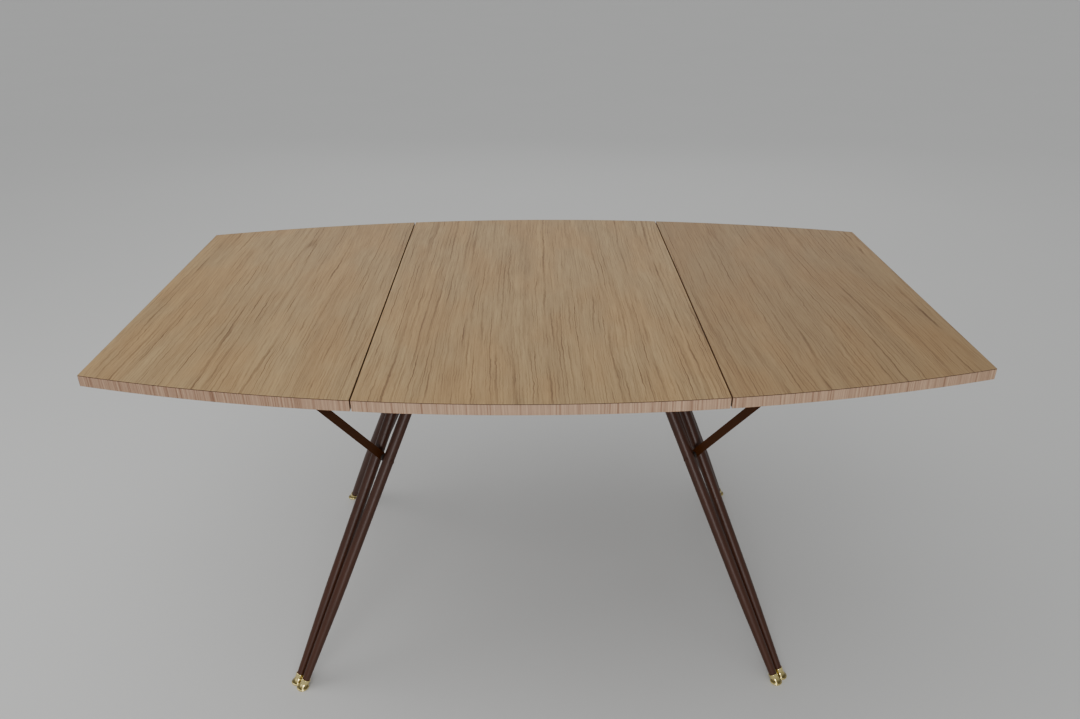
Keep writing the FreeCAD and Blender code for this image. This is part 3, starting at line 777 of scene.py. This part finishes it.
def domed_head(name, wide, high, slotted):
    """Domed head on +Z with a short shank below, and a slot where asked."""
    bm = bmesh.new()
    ball = ((wide / 2) ** 2 + high ** 2) / (2 * high)
    edge = math.asin(wide / 2 / ball)
    first, second = Vector((1, 0, 0)), Vector((0, 1, 0))
    steps = [(-high, wide * SHANK), (0.0, wide * SHANK), (0.0, wide * SEAT)]
    for i in range(DOME_STEPS):
        angle = edge * (1 - i / DOME_STEPS)
        rise = ball * math.cos(angle) - (ball - high)
        steps.append((rise + high * RIM_LIFT, ball * math.sin(angle)))
    loft(bm, [circle(UP * rise, first, second, radius, HEAD_SIDES) for rise, radius in steps])
    mesh = close_mesh(name, bm)
    if not slotted:
        return mesh
    cutter = bmesh.new()
    size = Matrix.Diagonal((wide * SLOT_LONG, wide * SLOT_WIDE, high, 1.0))
    place = Matrix.Translation(UP * high * SLOT_LEVEL)
    bmesh.ops.create_cube(cutter, size=1.0, matrix=place @ size)
    return combined(name + "_slotted", mesh, close_mesh(name + "_cutter", cutter), "DIFFERENCE")


# Operators
class TABLE_OT_grain_sheets(bpy.types.Operator):
    """Wood-grain sheet on top of each board, with eased edges and a dark cut edge"""
    bl_idname = "table.grain_sheets"
    bl_label = "Grain sheets"

    def finish_index(self, t, polygon):
        """Grain on the upper side, darker brown as painted shade in the seams and the dark cut edge
        elsewhere.
        """
        if polygon.normal.z > FACING_UP:
            return 0
        at_seam = abs(polygon.normal.x) > FACING_END and abs(polygon.center.x) < t.half / 2
        return 2 if at_seam else 1

    def execute(self, context):
        t = top()
        dark = finish_of("sheet_cut_edge", cut_edge, context.scene.table_tones.cut_edge)
        for name, body, start, stop in boards(t):
            bm = bmesh.new()
            xs = spread(start, stop, CURVED_STEPS)
            rim = [(x, -edge_y(t, x)) for x in xs] + [(x, edge_y(t, x)) for x in reversed(xs)]
            loft(bm, [[Vector((x, y, z)) for x, y in rim] for z in (t.sheet, t.level)])
            upper = [e for e in sharp_edges(bm) if all(v.co.z > t.sheet + LEVEL_REACH for v in e.verts)]
            ease(bm, upper, context.scene.table_sizes.ease)
            mesh = close_mesh(name + "_grain_sheet", bm)
            for polygon in mesh.polygons:
                polygon.material_index = self.finish_index(t, polygon)
            add_piece(name + "_grain_sheet", mesh, body, "grain_sheet", [name + "_top_sheet"],
                      finish_of(name + "_grain", grain_sheet, *FIGURES[name]), dark, seam_shade_finish())
        return {"FINISHED"}


class TABLE_OT_edge_strips(bpy.types.Operator):
    """Edge strips round the boards, on the curved and the straight edges"""
    bl_idname = "table.edge_strips"
    bl_label = "Edge strips"

    def strip(self, context, node, body, outer, inner, finish):
        """Closed strip between two lines of points, its outer face eased."""
        t = top()
        bm = bmesh.new()
        rings = [[Vector((*p, t.under)), Vector((*q, t.under)), Vector((*q, t.sheet)),
                  Vector((*p, t.sheet))] for p, q in zip(outer, inner)]
        rows = loft(bm, rings)
        face = {v for row in rows for v in (row[0], row[3])}
        ease(bm, [e for e in sharp_edges(bm) if set(e.verts) <= face],
             context.scene.table_sizes.ease * STRIP_EASE)
        add_piece(node + "_strip", close_mesh(node + "_strip", bm), body, "edge_strip", [node], finish)

    def execute(self, context):
        t = top()
        thick = context.scene.table_sizes.strip
        curved = finish_of("curved_strip_grain", edge_strip, "X")
        straight = finish_of("end_strip_grain", edge_strip, "Y")
        seam_shaded = seam_shade_finish()
        for name, body, start, stop in boards(t):
            xs = spread(start, stop, CURVED_STEPS)
            for word, side in (("front", -1), ("back", 1)):
                self.strip(context, f"{name}_{word}_edge", body,
                           [(x, side * edge_y(t, x)) for x in xs],
                           [(x, side * edge_y(t, x, thick)) for x in xs], curved)
            ends = {"centre": (("left_seam", start, 1), ("right_seam", stop, -1)),
                    "left_leaf": (("end", start, 1), ("seam", stop, -1)),
                    "right_leaf": (("seam", start, 1), ("end", stop, -1))}[name]
            for word, x, way in ends:
                reach = edge_y(t, x, thick)
                ys = spread(-reach, reach, STRAIGHT_STEPS)
                self.strip(context, f"{name}_{word}_edge", body, [(x, y) for y in ys],
                           [(x + way * thick, y) for y in ys],
                           straight if word == "end" else seam_shaded)
        return {"FINISHED"}


class TABLE_OT_boards(bpy.types.Operator):
    """Finishes of the cores and of the backing sheets under them"""
    bl_idname = "table.boards"
    bl_label = "Boards"

    def execute(self, context):
        for name, _, _, _ in boards(top()):
            dress(finish_of("pressed_board", chipboard), name + "_core")
            dress(finish_of("brown_backing", backing), name + "_backer")
        return {"FINISHED"}


class TABLE_OT_leg_tubes(bpy.types.Operator):
    """Tubes of the twin legs, tapered to the feet and cut level at their plates, with weld beads"""
    bl_idname = "table.leg_tubes"
    bl_label = "Leg tubes"

    def radius(self, s, step):
        """Radius of a tube at a step along it: a taper that eases into a straight run."""
        share = step / s.taper
        if share > 1 - TAPER_SOFT:
            share = min(share, 1 + TAPER_SOFT)
            share -= (share - 1 + TAPER_SOFT) ** 2 / (4 * TAPER_SOFT)
        return (s.leg_foot + (s.leg - s.leg_foot) * share) / 2

    def skin(self, s, low, high, out):
        """Rings of points from the level cut in the foot to the level cut at the plate."""
        axis = (high - low).normalized()
        first, second = around(axis, out)
        slope = (s.leg - s.leg_foot) / 2 / s.taper
        columns = []
        for angle in spread(0.0, 2 * math.pi, TUBE_SIDES)[:-1]:
            ray = first * math.cos(angle) + second * math.sin(angle)
            start = (s.socket - s.leg_foot / 2 * ray.z) / (axis.z + slope * ray.z)
            stop = (high.z - s.leg / 2 * ray.z) / axis.z
            steps = spread(start, s.taper * (1 - TAPER_SOFT), TAPER_STEPS)
            steps += spread(s.taper * RUN_START, stop, RUN_STEPS)
            columns.append([low + axis * step + ray * self.radius(s, step) for step in steps])
        return list(zip(*columns))

    def execute(self, context):
        s = context.scene.table_sizes
        for corner, signs in CORNERS.items():
            c = twin(*signs)
            for word, (low, high) in c.tubes.items():
                rings = self.skin(s, low, high, c.out)
                bm = bmesh.new()
                loft(bm, rings)
                node = f"{corner}_{word}_tube"
                add_piece(node + "_skin", close_mesh(node + "_skin", bm), "base", "brown_paint",
                          [node], paint_finish())
                self.bead(s, node, rings[-1], c.plate)
        return {"FINISHED"}

    def bead(self, s, node, tops, level):
        """Rippled weld bead round a tube, against its plate."""
        middle = sum(tops, Vector()) / len(tops)
        bm = bmesh.new()
        rings = []
        for i, point in enumerate(tops):
            out = (point - middle).normalized()
            swell = s.weld * (1.0 + RIPPLE * math.sin(i * RIPPLE_STEP))
            rings.append(circle(point, out, UP, swell, BEAD_SIDES))
        loft(bm, rings, closed=True)
        for vert in bm.verts:
            vert.co.z = min(vert.co.z, level)
        add_piece(node + "_weld", close_mesh(node + "_weld", bm), "base", "brown_paint", [],
                  paint_finish())


class TABLE_OT_brass_feet(bpy.types.Operator):
    """Twin brass feet: two flared cups whose rims run into each other"""
    bl_idname = "table.brass_feet"
    bl_label = "Brass feet"

    def cup(self, s, name, c, low, high):
        """Rolled rim on the floor, concave flare and lipped collar round the tube."""
        axis = (high - low).normalized()
        rim, slim = s.rim / 2, s.collar / 2
        roll = s.rim_high / 2
        profile = []
        for angle in spread(-math.pi / 2, math.pi / 2, ROLL_STEPS):
            profile.append((roll + roll * math.sin(angle),
                            rim - roll * ROLL_DEPTH * (1 - math.cos(angle))))
        inner = profile[-1][1]
        waist = slim * WAIST
        for share in spread(0.0, 1.0, FLARE_STEPS)[1:]:
            step = s.rim_high + (s.collar_low - s.rim_high) * share
            profile.append((step, waist + (inner - waist) * (1 - share) ** FLARE_POWER))
        profile += [(s.collar_low + rise, slim * share) for rise, share in COLLAR_START]
        profile += [(s.collar_top + rise, slim * share) for rise, share in COLLAR_LIP]
        rings = []
        # The rings turn from level at the rim to square with the tube at the collar
        for step, radius in profile:
            share = min(max((step - s.rim_high) / (s.collar_low - s.rim_high), 0.0), 1.0)
            share = share * share * (3 - 2 * share)
            normal = UP.lerp(axis, share).normalized()
            centre = low + UP * (step * (1 + (axis.z - 1) * share)) * (1 - share) + axis * (step * share)
            rings.append(circle(centre, *around(normal, c.out), radius, CUP_SIDES))
        bm = bmesh.new()
        loft(bm, rings)
        return close_mesh(name, bm)

    def execute(self, context):
        s = context.scene.table_sizes
        for corner, signs in CORNERS.items():
            c = twin(*signs)
            cups = [self.cup(s, f"{corner}_{word}_cup", c, low, high)
                    for word, (low, high) in c.tubes.items()]
            mesh = combined(corner + "_brass_foot", *cups, "UNION")
            add_piece(corner + "_brass_foot", mesh, "base", "brass_foot", [corner + "_foot"],
                      finish_of("polished_brass", brass))
        return {"FINISHED"}


class TABLE_OT_braces(bpy.types.Operator):
    """Flat-bar braces that rise from between the tubes to the leaves"""
    bl_idname = "table.braces"
    bl_label = "Braces"

    def execute(self, context):
        s = context.scene.table_sizes
        for corner, signs in CORNERS.items():
            c = twin(*signs)
            node = corner + "_brace"
            along = c.out * math.cos(s.brace_rise) + UP * math.sin(s.brace_rise)
            side = c.out.cross(UP)
            rise = side.cross(along)
            half = s.brace_wide / 2
            end = (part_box(node)[1][2] - half - s.pivot) / along.z
            rim = [c.pivot + along * (math.sin(a) * -half) + rise * (math.cos(a) * half)
                   for a in spread(0.0, math.pi, BAR_END_STEPS)]
            rim += [c.pivot + along * (end + math.sin(a) * half) - rise * (math.cos(a) * half)
                    for a in spread(0.0, math.pi, BAR_END_STEPS)]
            bm = bmesh.new()
            loft(bm, [[p + side * (way * s.brace_thick / 2) for p in rim] for way in (-1, 1)])
            ease(bm, sharp_edges(bm), s.brace_ease, segments=3)
            add_piece(node + "_bar", close_mesh(node + "_bar", bm), corner + "_brace_arm",
                      "brown_paint", [node], brace_finish())
        return {"FINISHED"}


class TABLE_OT_rivets(bpy.types.Operator):
    """Domed rivet heads outside the twin tubes, and the sleeves between them"""
    bl_idname = "table.rivets"
    bl_label = "Rivets"

    def execute(self, context):
        s = context.scene.table_sizes
        head = domed_head("rivet_head", s.rivet, s.rivet_high, False)
        seats = []
        for signs in CORNERS.values():
            c = twin(*signs)
            seats += [(c.pivot + c.across * (way * (c.reach + s.rivet_gap)), facing(c.across * way))
                      for way in (-1, 1)]
        mesh = on_seats("pivot_rivet_heads", head, seats, paint_finish())
        add_piece("pivot_rivet_heads", mesh, "base", "steel", ["pivot_rivets"])
        dress(finish_of("dull_nylon", dull_nylon), "pivot_spacers")
        return {"FINISHED"}


class TABLE_OT_screws(bpy.types.Operator):
    """Slotted screws of the leg plates, hinges and catches, each turned by chance"""
    bl_idname = "table.screws"
    bl_label = "Screws"

    def plate(self, s, word):
        """Seats along both sides of a leg plate."""
        low, high = (Vector(p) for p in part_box(word + "_leg_plate"))
        return [Vector((x, y, low.z)) for x in (low.x + s.plate_inset, high.x - s.plate_inset)
                for y in (low.y + s.plate_inset, 0.0, high.y - s.plate_inset)]

    def hinge(self, s, t, side, way):
        """Seats on the hinge leaves of one seam; way is 1 towards the leaf."""
        x = side * (t.seam + s.seam_gap / 2 + way * s.hinge_row)
        return [Vector((x, place * s.hinge_pitch + row * s.hinge_screws, t.under - s.hinge_leaf))
                for place in (-1, 0, 1) for row in (-1, 0, 1)]

    def catch(self, s, t, corner):
        """Seats at the two ends of a catch."""
        low, high = (Vector(p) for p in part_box(corner + "_catch"))
        middle = (low + high) / 2
        middle.z = t.under - s.catch_plate
        out = twin(*CORNERS[corner]).out
        return [middle + out * (way * s.catch_screw) for way in (-1, 1)]

    def execute(self, context):
        s = context.scene.table_sizes
        t = top()
        groups = {"base": []}
        for word, side in SIDES.items():
            groups["base"] += self.plate(s, word) + self.hinge(s, t, side, -1)
            groups[word + "_leaf"] = (self.hinge(s, t, side, 1) + self.catch(s, t, "front_" + word)
                                      + self.catch(s, t, "back_" + word))
        for word, seats in groups.items():
            head = domed_head("screw_head", s.screw, s.screw_high, True)
            name = word + "_screw_heads"
            mesh = on_seats(name, head, [(seat, facing(-UP)) for seat in seats], steel_finish(),
                            spin=math.pi)
            body = "base" if word == "base" else word + "_board"
            add_piece(name, mesh, body, "steel", [word + "_screws"])
        return {"FINISHED"}


class TABLE_OT_fittings(bpy.types.Operator):
    """Finishes of the hinges, leg plates and catches under the top"""
    bl_idname = "table.fittings"
    bl_label = "Hinges, plates and catches"

    def execute(self, context):
        for word in SIDES:
            dress(steel_finish(), word + "_hinge_fixed_leaves", word + "_hinge_moving_leaves")
            dress(paint_finish(), word + "_leg_plate")
        dress(steel_finish(), "hinge_pins")
        for corner in CORNERS:
            dress(brace_finish(), corner + "_catch")
        return {"FINISHED"}


class TABLE_OT_stage(bpy.types.Operator):
    """Plain floor, soft light and the camera"""
    bl_idname = "table.stage"
    bl_label = "Stage"

    def lamp(self, context, name, place, target, size, energy):
        """Soft rectangular lamp that faces its target."""
        data = bpy.data.lights.new(name, "AREA")
        data.shape = "RECTANGLE"
        data.size, data.size_y = size
        data.energy = energy
        lamp = bpy.data.objects.new(name, data)
        lamp.location = place
        lamp.rotation_euler = (Vector(target) - Vector(place)).to_track_quat("-Z", "Y").to_euler()
        context.scene.collection.objects.link(lamp)

    def execute(self, context):
        mesh = bpy.data.meshes.new("stage_floor")
        corners = [(x * FLOOR_REACH, y * FLOOR_REACH, 0) for x, y in ((-1, -1), (1, -1), (1, 1), (-1, 1))]
        mesh.from_pydata(corners, [], [(0, 1, 2, 3)])
        mesh.materials.append(finish_of("stage_floor", plain_floor))
        floor = bpy.data.objects.new("stage_floor", mesh)
        context.scene.collection.objects.link(floor)

        for lamp in LAMPS:
            self.lamp(context, *lamp)
        high = bpy.data.lights.new("high_light", "SUN")
        high.energy = SUN_STRENGTH
        high.angle = SUN_SPREAD
        sun = bpy.data.objects.new("high_light", high)
        sun.rotation_euler = SUN_HEADING.to_track_quat("-Z", "Y").to_euler()
        context.scene.collection.objects.link(sun)

        world = bpy.data.worlds.new("soft_room")
        world.use_nodes = True
        sky = world.node_tree.nodes["Background"]
        sky.inputs["Color"].default_value = ROOM_COLOUR
        sky.inputs["Strength"].default_value = ROOM_STRENGTH
        context.scene.world = world

        lens = bpy.data.cameras.new("photo_view")
        lens.lens = LENS
        lens.sensor_width = SENSOR
        lens.sensor_fit = "HORIZONTAL"
        lens.clip_end = CLIP_END
        camera = bpy.data.objects.new("photo_view", lens)
        camera.location = CAMERA_PLACE
        camera.rotation_euler = CAMERA_TURN
        context.scene.collection.objects.link(camera)
        context.scene.camera = camera
        return {"FINISHED"}


class TABLE_PT_sidebar(bpy.types.Panel):
    """Steps, sizes and colours of the table"""
    bl_idname = "TABLE_PT_sidebar"
    bl_label = "Drop-leaf table"
    bl_space_type = "VIEW_3D"
    bl_region_type = "UI"
    bl_category = "Table"

    def draw(self, context):
        for step in STEPS:
            self.layout.operator(step.bl_idname)
        for group in (context.scene.table_sizes, context.scene.table_tones):
            box = self.layout.box()
            for name in group.__annotations__:
                box.prop(group, name)


STEPS = (TABLE_OT_grain_sheets, TABLE_OT_edge_strips, TABLE_OT_boards, TABLE_OT_leg_tubes,
         TABLE_OT_brass_feet, TABLE_OT_braces, TABLE_OT_rivets, TABLE_OT_screws,
         TABLE_OT_fittings, TABLE_OT_stage)
CLASSES = (TableSizes, TableTones, *STEPS, TABLE_PT_sidebar)


def register():
    for item in CLASSES:
        bpy.utils.register_class(item)
    bpy.types.Scene.table_sizes = bpy.props.PointerProperty(type=TableSizes)
    bpy.types.Scene.table_tones = bpy.props.PointerProperty(type=TableTones)


def unregister():
    del bpy.types.Scene.table_tones
    del bpy.types.Scene.table_sizes
    for item in reversed(CLASSES):
        bpy.utils.unregister_class(item)


def main():
    register()
    for step in STEPS:
        family, name = step.bl_idname.split(".")
        getattr(getattr(bpy.ops, family), name)()


if __name__ == "__main__":
    main()
